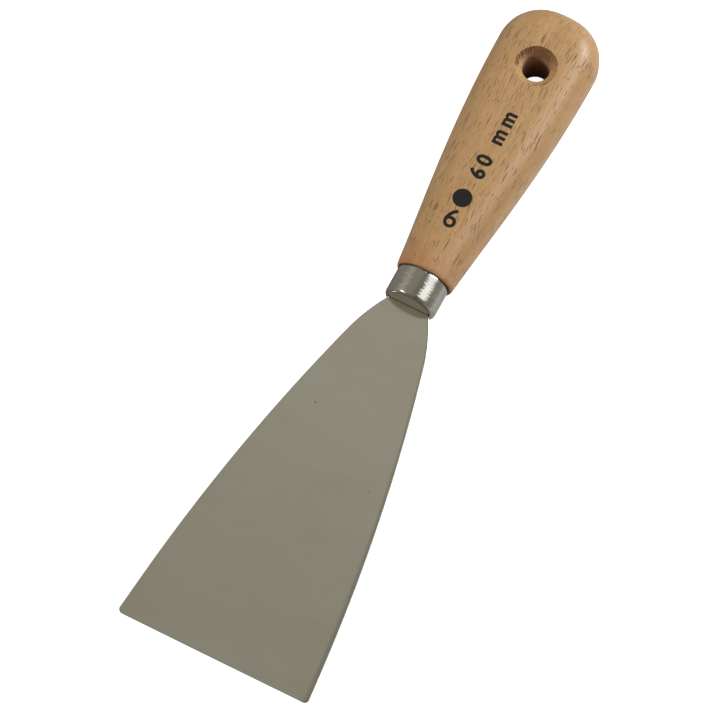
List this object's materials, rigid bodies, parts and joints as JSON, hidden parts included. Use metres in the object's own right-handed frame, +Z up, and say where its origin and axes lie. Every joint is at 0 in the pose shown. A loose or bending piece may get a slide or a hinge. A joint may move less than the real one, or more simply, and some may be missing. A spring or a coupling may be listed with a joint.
{
  "type": "flexible putty knife",
  "caption": "Hand tool with a thin flexible steel blade that narrows from a wide straight edge into a slotted metal ferrule on an oval wooden handle with a countersunk hanging hole.",
  "frame": {"origin": "under the middle of the tool's length, on its centre line, level with the underside of the handle (lowest point)", "axes": "+X along the tool from the working edge of the blade towards the butt of the handle, +Y across the blade, +Z up, out of the face of the handle that carries the size mark"},
  "size_m": [0.2196, 0.0596, 0.019],
  "materials": {
    "beech": "satin clear lacquer over straight-grained beech with short dark ray flecks",
    "plated_steel": "nickel-plated drawn steel, fine circumferential polishing lines",
    "blade_steel": "finely ground and polished spring steel, slightly cloudy"
  },
  "bodies": {
    "handle": {"handle": "beech", "ferrule": "plated_steel", "tang": "blade_steel"},
    "blade": {"blade": "blade_steel"}
  },
  "joints": [
    {"name": "blade_flex", "type": "hinge", "parent": "handle", "child": "blade", "pos_m": [0.00885, 0, 0.0095], "axis": [0, 1, 0], "range_deg": [-30, 30], "stiffness_Nm_per_rad": 3.5}
  ]
}
